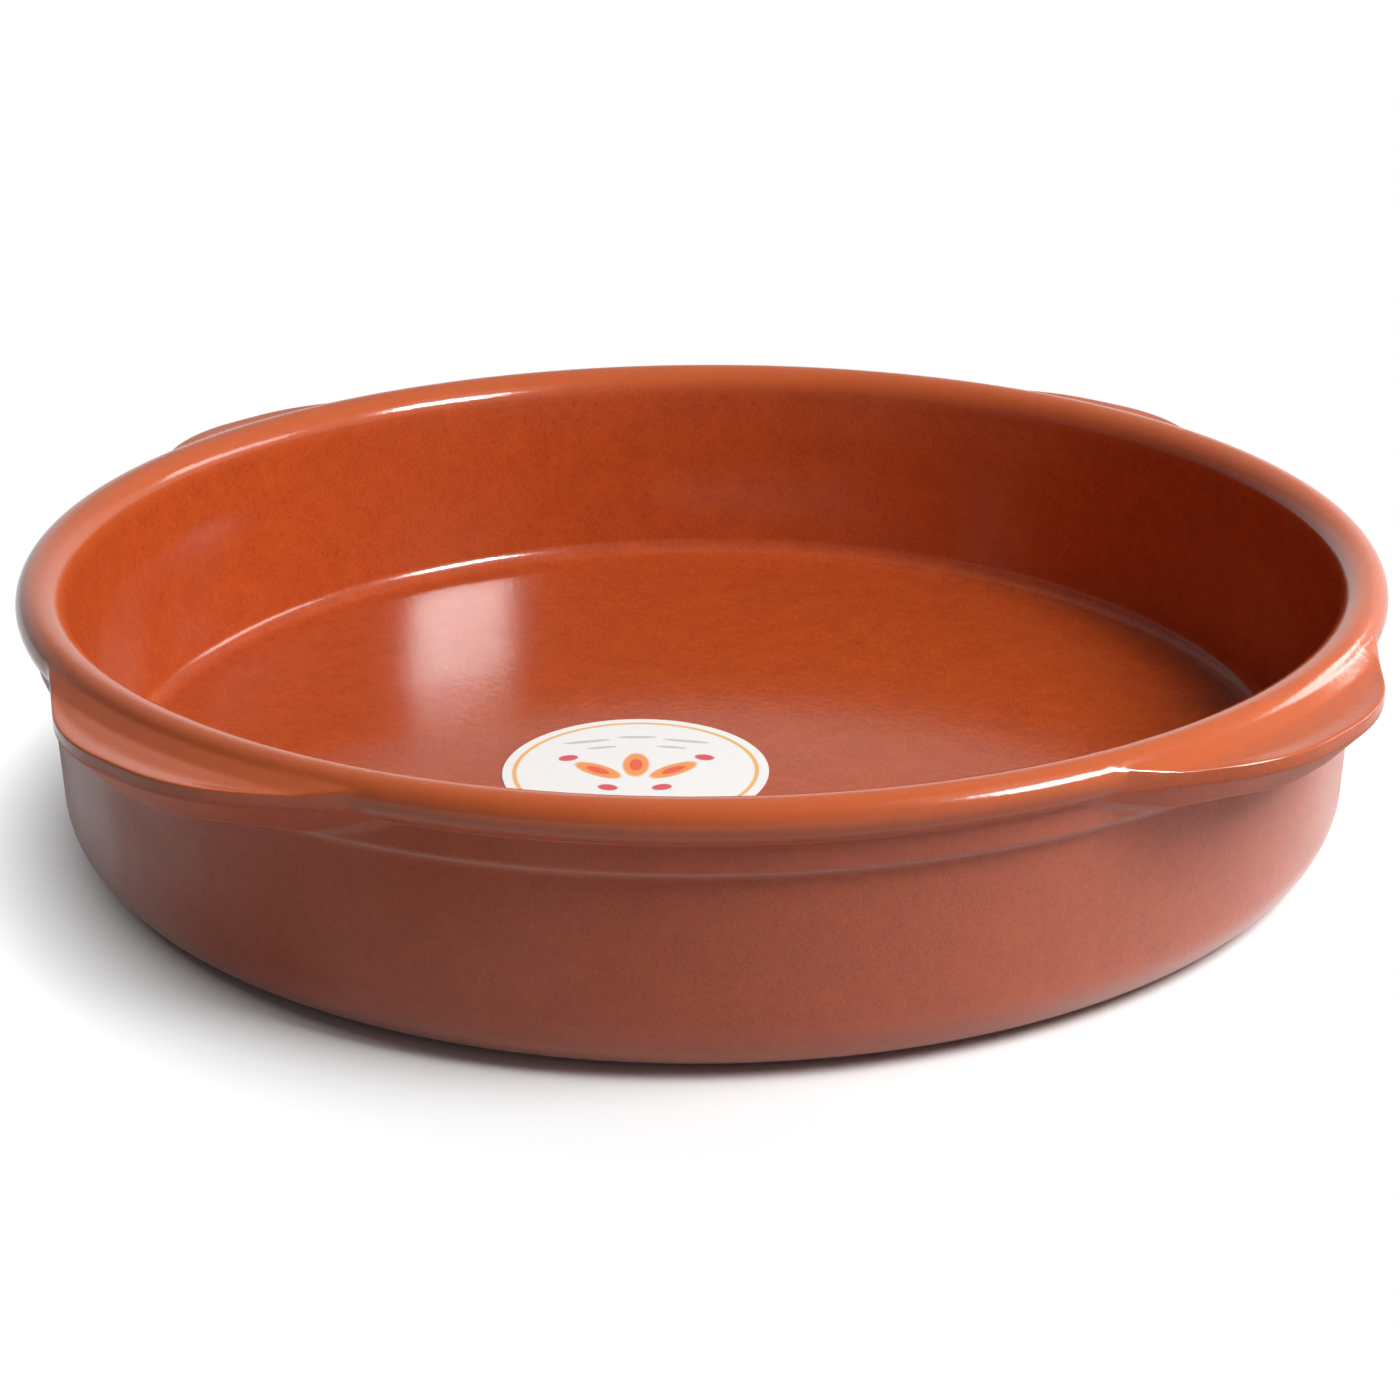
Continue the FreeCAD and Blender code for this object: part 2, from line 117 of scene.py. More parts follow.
# A lug's outline in plan: front radius, half width there, root radius, corner rounding; and the
# angle from a lug's middle to its root
LEDGE_PLAN = (161.4, 19.0, 145.65, 44.0)
UNDER_PLAN = (155.4, 9.5, 143.93, 22.0)
ROOT_HALF_WIDTH = 63.0
ROOT_ANGLE = math.asin(ROOT_HALF_WIDTH / LEDGE_PLAN[2])

# A shallow channel runs along a lug's ledge, which is all that lies near the ledge's level. It is
# never deeper than this share of the ledge's width, and a ledge under the least width has none.
CHANNEL_DEPTH = 0.3
CHANNEL_SHARE = 0.06
CHANNEL_LEAST_WIDTH = 0.5
LEDGE_NEAR = 0.2


def arc(centre, radius, start, end, count):
    angles = numpy.radians(numpy.linspace(start, end, count))
    return [(centre[0] + radius * math.cos(a), centre[1] + radius * math.sin(a)) for a in angles]


def rounded(before, corner, after, radius, count):
    """The arc that rounds a corner between two straight lines."""
    into = (Vector(before) - Vector(corner)).normalized()
    out = (Vector(after) - Vector(corner)).normalized()
    half = into.angle(out) / 2
    centre = Vector(corner) + (into + out).normalized() * (radius / math.sin(half))
    first = Vector(corner) + into * (radius / math.tan(half)) - centre
    last = Vector(corner) + out * (radius / math.tan(half)) - centre
    turn = first.angle_signed(last)
    steps = numpy.linspace(0.0, turn, count)
    return [tuple(centre + Matrix.Rotation(-step, 2) @ first) for step in steps]


def plan_radius(plan, angle):
    """How far out a lug's outline lies at an angle from the lug's middle; 0 beyond its root."""
    if angle > ROOT_ANGLE:
        return 0.0
    front, half_front, root, corner = plan
    front_angle = math.asin(half_front / front)
    root_point = Vector((root * math.cos(ROOT_ANGLE), root * math.sin(ROOT_ANGLE)))
    front_point = Vector((front * math.cos(front_angle), half_front))
    normal = math.atan2(front_point.x - root_point.x, root_point.y - half_front)

    # the rounding's middle touches the front arc from inside and stands off the side by its radius
    side_distance = front_point.x * math.cos(normal) + front_point.y * math.sin(normal)
    middle = front - corner
    middle_angle = normal - math.acos((side_distance - corner) / middle)
    if angle < middle_angle:
        return front
    touch = Vector((middle * math.cos(middle_angle) + corner * math.cos(normal),
                    middle * math.sin(middle_angle) + corner * math.sin(normal)))
    if angle < math.atan2(touch.y, touch.x):
        away = angle - middle_angle
        return middle * math.cos(away) + math.sqrt(corner ** 2 - (middle * math.sin(away)) ** 2)
    return side_distance / math.cos(angle - normal)


def lug_across(level, ledge, under):
    """How far out a lug reaches at a level, from its outline radii at the ledge and underneath."""
    if level < COLLAR_LEVEL or level > SLOPE_START[1]:
        return 0.0
    if level < FACE_LEVEL:
        return under + (ledge - under) * (level - COLLAR_LEVEL) / (FACE_LEVEL - COLLAR_LEVEL)
    if level < LEDGE_LEVEL:
        return ledge
    rise = level - LEDGE_LEVEL
    if rise > HOLLOW_RADIUS * (1.0 - math.cos(SLOPE_ANGLE)):
        return min(ledge, SLOPE_FOOT - rise / math.tan(SLOPE_ANGLE))
    slope_end = SLOPE_FOOT + HOLLOW_RADIUS * math.tan(SLOPE_ANGLE / 2)
    return min(ledge, slope_end - math.sqrt(HOLLOW_RADIUS ** 2 - (HOLLOW_RADIUS - rise) ** 2))


def roll_across(level):
    return ROLL_ACROSS + math.sqrt(max(0.0, ROLL_RADIUS ** 2 - (level - ROLL_LEVEL) ** 2))


# The part of the section in which the lugs change it runs from the wall at this level over the roll
# to the inside wall at the collar's level. Up to the roll's top it is the outermost of collar, roll
# and lug at each level, above that an arc. It is read in steps of this length and twice averaged
# over this length on each side, which rounds its corners as the glaze does.
CHANGE_LEVEL = 40.0
ROLL_TOP = 56.9
READ_STEP = 0.03
SOFTEN = 0.36

# The rows of corners that are kept of it lie closer together where it bends: by up to this many
# times more, and by half of that where it turns by this many radians over a millimetre. The bend
# is averaged over this many steps on each side.
CHANGE_ROWS = 112
CROWDING = 6.0
HALF_CROWDED_BEND = 0.4
BEND_STEPS = 15


def collar_side():
    """The outside of wall and collar, without the roll, as points from the wall up."""
    wall = (FOOT_ACROSS + (WALL_TOP[0] - FOOT_ACROSS) * CHANGE_LEVEL / WALL_TOP[1], CHANGE_LEVEL)
    return ([wall] + rounded(wall, WALL_TOP, COLLAR_LOW, COLLAR_HOLLOW, count=16)
            + rounded(WALL_TOP, COLLAR_LOW, COLLAR_HIGH, COLLAR_EDGE, count=12) + [COLLAR_HIGH])


def lip():
    """Middle and radius of the rounding from the crown down to the inside wall, and its last angle."""
    slope = (INSIDE_TOP[0] - INSIDE_BEND[0]) / (INSIDE_TOP[1] - INSIDE_BEND[1])
    lean = math.atan(slope)
    inside_at_top = INSIDE_TOP[0] + slope * (HEIGHT - INSIDE_TOP[1])
    radius = (ROLL_ACROSS - inside_at_top) * math.cos(lean) / (1.0 - math.sin(lean))
    return (ROLL_ACROSS, HEIGHT - radius), radius, 180.0 - math.degrees(lean)


def even_points(path, step):
    """Points along a path at equal steps."""
    path = numpy.array(path)
    length = numpy.concatenate(([0.0], numpy.cumsum(numpy.hypot(*numpy.diff(path, axis=0).T))))
    places = numpy.linspace(0.0, length[-1], int(round(length[-1] / step)) + 1)
    return numpy.stack([numpy.interp(places, length, column) for column in path.T], axis=1)


def softened(points, half):
    """Points averaged over a number of neighbours on each side; both ends stay."""
    low = 2 * points[0] - points[half:0:-1]
    high = 2 * points[-1] - points[-2:-half - 2:-1]
    run = numpy.concatenate((low, points, high))
    window = numpy.ones(2 * half + 1) / (2 * half + 1)
    return numpy.stack([numpy.convolve(column, window, "valid") for column in run.T], axis=1)


def channelled(points, ledge):
    """Points with a shallow channel along the ledge, between the slope's foot and the lug's edge."""
    width = ledge - SLOPE_FOOT
    if width < CHANNEL_LEAST_WIDTH:
        return points
    place = numpy.clip((points[:, 0] - SLOPE_FOOT) / width, 0.0, 1.0)
    on_ledge = numpy.abs(points[:, 1] - LEDGE_LEVEL) < LEDGE_NEAR
    depth = min(CHANNEL_DEPTH, CHANNEL_SHARE * width)
    sunk = points.copy()
    sunk[:, 1] -= on_ledge * depth * numpy.sin(math.pi * place) ** 2
    return sunk


def crowded(points, count):
    """As many points as asked, closer together where the path bends."""
    heading = numpy.unwrap(numpy.arctan2(*numpy.diff(points, axis=0).T[::-1]))
    bend = numpy.abs(numpy.gradient(heading)) / READ_STEP
    bend = numpy.concatenate((bend, bend[-1:]))
    window = numpy.ones(2 * BEND_STEPS + 1) / (2 * BEND_STEPS + 1)
    bend = numpy.convolve(numpy.pad(bend, BEND_STEPS, "edge"), window, "valid")
    weight = numpy.cumsum(1.0 + CROWDING * bend / (bend + HALF_CROWDED_BEND))
    places = numpy.linspace(weight[0], weight[-1], count)
    return numpy.stack([numpy.interp(places, weight, column) for column in points.T], axis=1)


def changing_rows(angle):
    """The section from the wall under the collar over the roll to the inside wall."""
    ledge = plan_radius(LEDGE_PLAN, angle)
    under = plan_radius(UNDER_PLAN, angle)
    side = numpy.array(collar_side())
    path = []
    for level in numpy.arange(CHANGE_LEVEL, ROLL_TOP, READ_STEP):
        across = float(numpy.interp(level, side[:, 1], side[:, 0])) if level < ROLL_LEVEL else 0.0
        if abs(level - ROLL_LEVEL) < ROLL_RADIUS:
            across = max(across, roll_across(level))
        path.append((max(across, lug_across(level, ledge, under)), level))
    top_angle = math.degrees(math.asin((ROLL_TOP - ROLL_LEVEL) / ROLL_RADIUS))
    path += arc((ROLL_ACROSS, ROLL_LEVEL), ROLL_RADIUS, top_angle, 90.0, count=40)
    middle, radius, last = lip()
    path += arc(middle, radius, 90.0, last, count=120)[1:] + [INSIDE_TOP]
    points = channelled(even_points(path, READ_STEP), ledge)
    half = int(SOFTEN / READ_STEP)
    points = softened(softened(points, half), half)
    return [tuple(point) for point in crowded(points, CHANGE_ROWS)]


def between(first, last, count):
    steps = numpy.linspace(0.0, 1.0, count)
    return [tuple(Vector(first).lerp(Vector(last), step)) for step in steps]


# the innermost rows of corners on the base and on the floor, round the corner in their middle
BASE_INNERMOST = 20.0
FLOOR_INNERMOST = 8.0


def outer_rows():
    """The section from near the base's middle out and up the wall to where the lugs change it."""
    base = rounded((0.0, 0.0), (FOOT_ACROSS, 0.0), WALL_TOP, BASE_CORNER, count=14)
    flat = between((BASE_INNERMOST, 0.0), base[0], count=6)
    wall = between(base[-1], (collar_side()[0][0], CHANGE_LEVEL), count=8)
    return flat[:-1] + base + wall[1:-1]


def inner_rows():
    """The section from the inside wall at the collar's level down to near the floor's middle."""
    bend = rounded(INSIDE_TOP, INSIDE_BEND, INSIDE_FOOT, BEND_RADIUS, count=6)
    fillet = rounded(INSIDE_BEND, INSIDE_FOOT, (0.0, INSIDE_FOOT[1]), FLOOR_FILLET, count=16)
    high_wall = between(INSIDE_TOP, bend[0], count=3)
    low_wall = between(bend[-1], fillet[0], count=6)
    flat = between(fillet[-1], (FLOOR_INNERMOST, INSIDE_FOOT[1]), count=8)
    return high_wall[1:-1] + bend + low_wall[1:-1] + fillet + flat[1:]


# degrees on each side of a lug's middle in which the section changes, the columns of corners in
# each of these halves, and the columns in the plain stretch between two lugs
LUG_HALF_ANGLE = 27.0
LUG_STEPS = 45
PLAIN_STEPS = 30


def build_dish():
    outer, inner = outer_rows(), inner_rows()
    offsets = [LUG_HALF_ANGLE * step / LUG_STEPS for step in range(LUG_STEPS + 1)]
    sections = [outer + changing_rows(math.radians(offset)) + inner for offset in offsets]
    columns = []
    for lug in range(LUGS):
        middle = 360.0 * lug / LUGS
        for step in range(-LUG_STEPS, LUG_STEPS):
            columns.append((middle + LUG_HALF_ANGLE * step / LUG_STEPS, sections[abs(step)]))
        plain = 360.0 / LUGS - 2 * LUG_HALF_ANGLE
        for step in range(PLAIN_STEPS):
            columns.append((middle + LUG_HALF_ANGLE + plain * step / PLAIN_STEPS, sections[-1]))

    rows = len(sections[0])
    corners = []
    for angle, section in columns:
        turn = math.radians(angle)
        corners += [(MM * across * math.cos(turn), MM * across * math.sin(turn), MM * level)
                    for across, level in section]
    base_middle, floor_middle = len(corners), len(corners) + 1
    corners += [(0.0, 0.0, 0.0), (0.0, 0.0, MM * INSIDE_FOOT[1])]
    faces = []
    for column in range(len(columns)):
        here, there = column * rows, (column + 1) % len(columns) * rows
        faces.append((base_middle, there, here))
        for row in range(rows - 1):
            faces.append((here + row, there + row, there + row + 1, here + row + 1))
        faces.append((floor_middle, here + rows - 1, there + rows - 1))

    mesh = bpy.data.meshes.new("dish")
    mesh.from_pydata(corners, [], faces)
    mesh.polygons.foreach_set("use_smooth", [True] * len(faces))
    dish = bpy.data.objects.new("dish", mesh)
    bpy.context.scene.collection.objects.link(dish)
    return dish


# Node helpers

def new_material(name):
    material = bpy.data.materials.new(name)
    material.use_nodes = True
    material.node_tree.nodes.clear()
    return material


def add(tree, kind, **values):
    """Add a node; a value sets the input of that name, or else the node's own attribute."""
    node = tree.nodes.new(kind)
    for name, value in values.items():
        socket = node.inputs.get(name.replace("_", " "))
        if socket is not None:
            socket.default_value = value
        else:
            setattr(node, name, value)
    return node


def link(tree, source, target):
    tree.links.new(source, target)


def math_node(tree, operation, first, second=None):
    node = tree.nodes.new("ShaderNodeMath")
    node.operation = operation
    for socket, value in zip(node.inputs, (first, second)):
        if value is None:
            continue
        if isinstance(value, (int, float)):
            socket.default_value = value
        else:
            link(tree, value, socket)
    return node.outputs[0]


def spread(tree, value, low, high, to_low=0.0, to_high=1.0):
    """Map a value from one range to another, held inside it."""
    node = add(tree, "ShaderNodeMapRange", clamp=True)
    link(tree, value, node.inputs["Value"])
    limits = {"From Min": low, "From Max": high, "To Min": to_low, "To Max": to_high}
    for name, number in limits.items():
        node.inputs[name].default_value = number
    return node.outputs["Result"]


def above(tree, value, limits):
    """0 below the first of two limits, 1 above the second."""
    return spread(tree, value, *limits)


def below(tree, value, limits):
    """1 below the first of two limits, 0 above the second."""
    return spread(tree, value, *limits, 1.0, 0.0)


def times(tree, first, second):
    return math_node(tree, "MULTIPLY", first, second)


def larger(tree, first, second):
    return math_node(tree, "MAXIMUM", first, second)


def mix_colour(tree, factor, first, second):
    node = tree.nodes.new("ShaderNodeMix")
    node.data_type = "RGBA"

    # the node has sockets for each type of value, and these are the ones for colours
    for socket, value in ((node.inputs[0], factor), (node.inputs[6], first), (node.inputs[7], second)):
        if isinstance(value, (int, float)):
            socket.default_value = value
        elif isinstance(value, tuple):
            socket.default_value = value + (1.0,)
        else:
            link(tree, value, socket)
    return node.outputs[2]


def mix_shader(tree, factor, first, second):
    node = tree.nodes.new("ShaderNodeMixShader")
    link(tree, factor, node.inputs[0])
    link(tree, first.outputs[0], node.inputs[1])
    link(tree, second.outputs[0], node.inputs[2])
    return node


def noise(tree, where, scale, detail):
    node = add(tree, "ShaderNodeTexNoise", Scale=scale, Detail=detail, Roughness=0.5)
    link(tree, where, node.inputs["Vector"])
    return node.outputs["Fac"]


def pattern(tree, where, kind):
    """Noise of a scale and a detail, 0 below the first of two values and 1 above the second."""
    scale, detail, low, high = kind
    return spread(tree, noise(tree, where, scale, detail), low, high)


# Glazed clay: thick glossy glaze inside and on the roll, thin dull glaze outside

GLAZE = (0.46, 0.066, 0.0105)
GLAZE_DEEP = (0.37, 0.047, 0.008)
GLAZE_THIN = (0.58, 0.125, 0.035)
SPECK_DARK = (0.25, 0.034, 0.009)
# painted sheen: a paler, greyer colour painted on the foot where the base curves down
FOOT_SHEEN_PAINT = (0.60, 0.18, 0.115)
BARE_CLAY = (0.52, 0.16, 0.070)
GLAZE_IOR = 1.45
THIN_SHEEN = 0.45
THIN_SHEEN_ROUGHNESS = 0.5

# patterns in the glaze: the noise's scale per metre and its detail, and the values between which
# the pattern sets in
CLOUDS = (14.0, 3.0, 0.35, 0.65)
FLOW = (120.0, 2.0, 0.35, 0.65)
MOTTLE = (380.0, 3.0, 0.35, 0.65)
GRAIN = (2200.0, 2.0, 0.35, 0.70)
SPECKS = (900.0, 1.0, 0.62, 0.74)
RINGS = (420.0, 1.0, 0.30, 0.70)
PITS = (600.0, 2.0)

# how much of a colour the patterns mix in, one after another
STAINS = (
    (FLOW, 0.60, GLAZE_DEEP),
    (MOTTLE, 0.28, SPECK_DARK),
    (GRAIN, 0.38, GLAZE_THIN),
    (SPECKS, 0.36, SPECK_DARK),
)
CLOUDED = 0.22
EDGE_THINNED = 0.55
# how much of the foot's painted sheen is mixed in
FOOT_SHEEN_SHARE = 0.4

THICK_ROUGHNESS = (0.12, 0.17)
THIN_ROUGHNESS = (0.35, 0.95)
UNDER_LUGS_ROUGHNESS = 0.55
RING_RELIEF = 0.25
SKIN_STRENGTH = 0.20
SKIN_DEPTH = 0.0002

# Levels and distances from the axis, in metres, between which one kind of surface gives way to
# another: the thin glaze of the outside wall, which goes on under the dish's floor, and of the
# collar, the foot's painted sheen, a paler and greyer colour painted where the base curves down,
# the thinner glaze on roll and lugs, the duller underside of the lugs and the bare clay of the base
WALL_BELOW = (0.0440, 0.0450)
WALL_BEYOND = (0.1392, 0.1408)
UNDER_FLOOR = (0.0066, 0.0072)
COLLAR_BELOW = (0.0494, 0.0502)
COLLAR_BEYOND = (0.1440, 0.1446)
# the foot's painted sheen fades out between these levels
FOOT_SHEEN_BELOW = (0.0040, 0.0130)
EDGE_ABOVE = (0.0505, 0.0550)
LUGS_BELOW = (0.0514, 0.0530)
LUGS_BEYOND = (0.1476, 0.1484)
BARE_BELOW = (0.0004, 0.0012)


def glazed_clay():
    material = new_material("glazed_clay")
    tree = material.node_tree
    output = tree.nodes.new("ShaderNodeOutputMaterial")
    thick = add(tree, "ShaderNodeBsdfPrincipled", IOR=GLAZE_IOR)
    thin = add(tree, "ShaderNodeBsdfPrincipled", IOR=GLAZE_IOR)
    thin.inputs["Sheen Weight"].default_value = THIN_SHEEN
    thin.inputs["Sheen Roughness"].default_value = THIN_SHEEN_ROUGHNESS

    where = tree.nodes.new("ShaderNodeTexCoord").outputs["Object"]
    axes = tree.nodes.new("ShaderNodeSeparateXYZ")
    link(tree, where, axes.inputs[0])
    level = axes.outputs["Z"]
    squares = [math_node(tree, "POWER", axes.outputs[axis], 2.0) for axis in ("X", "Y")]
    away = math_node(tree, "SQRT", math_node(tree, "ADD", *squares))

    # the kinds of surface
    beyond = larger(tree, above(tree, away, WALL_BEYOND), below(tree, level, UNDER_FLOOR))
    wall = times(tree, below(tree, level, WALL_BELOW), beyond)
    # where the foot's painted sheen lies, low on the outside
    foot = times(tree, below(tree, level, FOOT_SHEEN_BELOW), beyond)
    edge = above(tree, level, EDGE_ABOVE)
    past_collar = above(tree, away, LUGS_BEYOND)
    under_lugs = times(tree, below(tree, level, LUGS_BELOW), past_collar)
    collar = times(tree, below(tree, level, COLLAR_BELOW), above(tree, away, COLLAR_BEYOND))
    collar = times(tree, collar, math_node(tree, "SUBTRACT", 1.0, past_collar))
    bare = below(tree, level, BARE_BELOW)
    dull = larger(tree, larger(tree, wall, collar), bare)

    clouds = pattern(tree, where, CLOUDS)
    colour = mix_colour(tree, times(tree, clouds, CLOUDED), GLAZE, GLAZE_DEEP)
    for kind, share, stain in STAINS:
        colour = mix_colour(tree, times(tree, pattern(tree, where, kind), share), colour, stain)
    # painted sheen: the foot is painted paler and greyer
    colour = mix_colour(tree, times(tree, foot, FOOT_SHEEN_SHARE), colour, FOOT_SHEEN_PAINT)
    colour = mix_colour(tree, times(tree, edge, EDGE_THINNED), colour, GLAZE_THIN)
    colour = mix_colour(tree, bare, colour, BARE_CLAY)

    thick_roughness = larger(tree, spread(tree, clouds, 0.0, 1.0, *THICK_ROUGHNESS),
                             times(tree, under_lugs, UNDER_LUGS_ROUGHNESS))
    thin_roughness = spread(tree, math_node(tree, "ADD", clouds, bare), 0.0, 2.0, *THIN_ROUGHNESS)
    link(tree, thick_roughness, thick.inputs["Roughness"])
    link(tree, thin_roughness, thin.inputs["Roughness"])

    # shallow rings from the wheel, and the pitted skin of the glaze
    section = tree.nodes.new("ShaderNodeCombineXYZ")
    link(tree, away, section.inputs["X"])
    link(tree, level, section.inputs["Z"])
    rings = times(tree, pattern(tree, section.outputs[0], RINGS), RING_RELIEF)
    skin = math_node(tree, "ADD", noise(tree, where, *PITS), rings)
    bump = add(tree, "ShaderNodeBump", Strength=SKIN_STRENGTH, Distance=SKIN_DEPTH)
    link(tree, skin, bump.inputs["Height"])

    for shader in (thick, thin):
        link(tree, colour, shader.inputs["Base Color"])
        link(tree, bump.outputs[0], shader.inputs["Normal"])
    link(tree, mix_shader(tree, dull, thick, thin).outputs[0], output.inputs[0])
    return material


# Paper sticker: a thin ring near its edge and a plain print of leaves and bars, in millimetres
# from the sticker's middle

STICKER_MIDDLE = (0.8, -23.4)
PAPER = (0.88, 0.88, 0.86)
RING = (0.84, 0.47, 0.16)
LEAF = (0.86, 0.34, 0.10)
LEAF_HEART = (0.80, 0.13, 0.07)
BERRY = (0.70, 0.10, 0.12)
BAR = (0.58, 0.57, 0.54)
PAPER_ROUGHNESS = 0.6

# the ring's ink ends between these distances off its middle, an ellipse's ink between these
# shares of its size
RING_RADIUS = 27.3
RING_EDGE = (0.35, 0.65)
BLOT_EDGE = (0.9, 1.1)

# fibres: noise scale per millimetre, detail, and the values between which they set in
FIBRES = (0.9, 3.0, 0.3, 0.7)
FIBRES_SHOW = 0.06
FIBRE_STRENGTH = 0.05
FIBRE_DEPTH = 0.0002

# middle across and up, half length, half width, turn in degrees; each leaf has a smaller heart
HEART_SIZE = 0.5
LEAVES = (
    (0.0, 3.0, 6.5, 3.0, 90.0),
    (-8.5, 0.0, 6.5, 2.7, 140.0),
    (8.5, 0.0, 6.5, 2.7, 40.0),
)
BERRIES = (
    (-15.5, 7.0, 2.3, 1.6, 20.0),
    (15.5, 7.0, 2.3, 1.6, -20.0),
    (-6.0, -9.5, 2.3, 1.6, -20.0),
    (6.0, -9.5, 2.3, 1.6, 20.0),
)
BARS = (
    (-11.5, 16.5, 5.5, 0.7, 12.0),
    (0.0, 19.0, 4.5, 0.7, 0.0),
    (11.5, 16.5, 5.5, 0.7, -12.0),
    (-8.0, 13.0, 3.5, 0.6, 10.0),
    (8.0, 13.0, 3.5, 0.6, -10.0),
)


def blot(tree, where, shape, size=1.0):
    """1 inside an ellipse drawn in the sticker's plan, in millimetres, and 0 outside."""
    across, up, half_length, half_width, turn = shape
    place = add(tree, "ShaderNodeMapping", vector_type="TEXTURE")
    place.inputs["Location"].default_value = (across, up, 0.0)
    place.inputs["Rotation"].default_value = (0.0, 0.0, math.radians(turn))
    place.inputs["Scale"].default_value = (half_length * size, half_width * size, 1.0)
    link(tree, where, place.inputs["Vector"])
    reach = add(tree, "ShaderNodeVectorMath", operation="LENGTH")
    link(tree, place.outputs[0], reach.inputs[0])
    return below(tree, reach.outputs["Value"], BLOT_EDGE)


def paper():
    material = new_material("sticker_paper")
    tree = material.node_tree
    output = tree.nodes.new("ShaderNodeOutputMaterial")
    shader = add(tree, "ShaderNodeBsdfPrincipled", Roughness=PAPER_ROUGHNESS)
    link(tree, shader.outputs[0], output.inputs[0])

    place = add(tree, "ShaderNodeMapping", vector_type="TEXTURE")
    place.inputs["Location"].default_value = (MM * STICKER_MIDDLE[0], MM * STICKER_MIDDLE[1], 0.0)
    place.inputs["Rotation"].default_value = (0.0, 0.0, PART_TURN)
    place.inputs["Scale"].default_value = (MM, MM, 1.0)
    link(tree, tree.nodes.new("ShaderNodeTexCoord").outputs["Object"], place.inputs["Vector"])
    flat = add(tree, "ShaderNodeVectorMath", operation="MULTIPLY")
    link(tree, place.outputs[0], flat.inputs[0])
    flat.inputs[1].default_value = (1.0, 1.0, 0.0)
    where = flat.outputs[0]

    fibres = pattern(tree, where, FIBRES)
    colour = mix_colour(tree, times(tree, fibres, FIBRES_SHOW), PAPER, BAR)
    reach = add(tree, "ShaderNodeVectorMath", operation="LENGTH")
    link(tree, where, reach.inputs[0])
    past_ring = math_node(tree, "SUBTRACT", reach.outputs["Value"], RING_RADIUS)
    off_ring = math_node(tree, "ABSOLUTE", past_ring)
    colour = mix_colour(tree, below(tree, off_ring, RING_EDGE), colour, RING)
    for shapes, ink in ((BARS, BAR), (LEAVES, LEAF), (BERRIES, BERRY)):
        for shape in shapes:
            colour = mix_colour(tree, blot(tree, where, shape), colour, ink)
    for shape in LEAVES:
        colour = mix_colour(tree, blot(tree, where, shape, HEART_SIZE), colour, LEAF_HEART)
    link(tree, colour, shader.inputs["Base Color"])

    bump = add(tree, "ShaderNodeBump", Strength=FIBRE_STRENGTH, Distance=FIBRE_DEPTH)
    link(tree, fibres, bump.inputs["Height"])
    link(tree, bump.outputs[0], shader.inputs["Normal"])
    return material


def wear(mesh, material):
    mesh.materials.clear()
    mesh.materials.append(material)


# Floor, world and lamps

WHITE = (1.0, 1.0, 1.0, 1.0)
FILL_STRENGTH = 0.11

# What a glossy surface mirrors of the room: its pale side lies at this azimuth and its dark side
# opposite. The one gives way to the other between these cosines of the angle to the pale side.
PALE_SIDE = math.radians(35.0)
PALE_FROM = (-0.6, 0.3)
ROOM_DARK = 0.3
ROOM_PALE = 1.0

# its ceiling is darker than its walls, and begins between these sines of the height
CEILING_FROM = (0.30, 0.40)
CEILING = 0.55

# The lamps: azimuth and height in degrees as seen from the dish, distance and size in metres,
# power in watts. Key and side light the surfaces, glint and strip are only mirrored.
AIM = (0.0, 0.0, 0.02)
KEY = (-27.0, 50.0, 1.2, (0.55, 0.55), 15.5)
GLINT = (-31.0, 34.5, 1.2, (0.42, 0.27), 31.0)
SIDE = (15.0, 31.0, 1.2, (0.8, 0.6), 5.5)
STRIP = (22.0, 24.0, 1.2, (0.72, 0.22), 4.0)


def make_world():
    world = bpy.data.worlds.new("studio")
    world.use_nodes = True
    tree = world.node_tree
    tree.nodes.clear()
    output = tree.nodes.new("ShaderNodeOutputWorld")
    seen = add(tree, "ShaderNodeBackground", Strength=1.0)
    room = add(tree, "ShaderNodeBackground")
    fill = add(tree, "ShaderNodeBackground", Strength=FILL_STRENGTH)
    for background in (seen, room, fill):
        background.inputs["Color"].default_value = WHITE

    direction = tree.nodes.new("ShaderNodeTexCoord").outputs["Generated"]
    towards_pale = add(tree, "ShaderNodeVectorMath", operation="DOT_PRODUCT")
    link(tree, direction, towards_pale.inputs[0])
    pale_side = from_photo(math.cos(PALE_SIDE), math.sin(PALE_SIDE), 0.0)
    towards_pale.inputs[1].default_value = pale_side
    upward = tree.nodes.new("ShaderNodeSeparateXYZ")
    link(tree, direction, upward.inputs[0])
    walls = spread(tree, towards_pale.outputs["Value"], *PALE_FROM, ROOM_DARK, ROOM_PALE)
    ceiling = spread(tree, upward.outputs["Z"], *CEILING_FROM, 1.0, CEILING)
    link(tree, times(tree, walls, ceiling), room.inputs["Strength"])

    # camera and transmission rays see the white room, glossy rays the shaded one, others the fill
    rays = tree.nodes.new("ShaderNodeLightPath").outputs
    indirect = mix_shader(tree, rays["Is Glossy Ray"], fill, room)
    direct = larger(tree, rays["Is Camera Ray"], rays["Is Transmission Ray"])
    link(tree, mix_shader(tree, direct, indirect, seen).outputs[0], output.inputs[0])
    bpy.context.scene.world = world


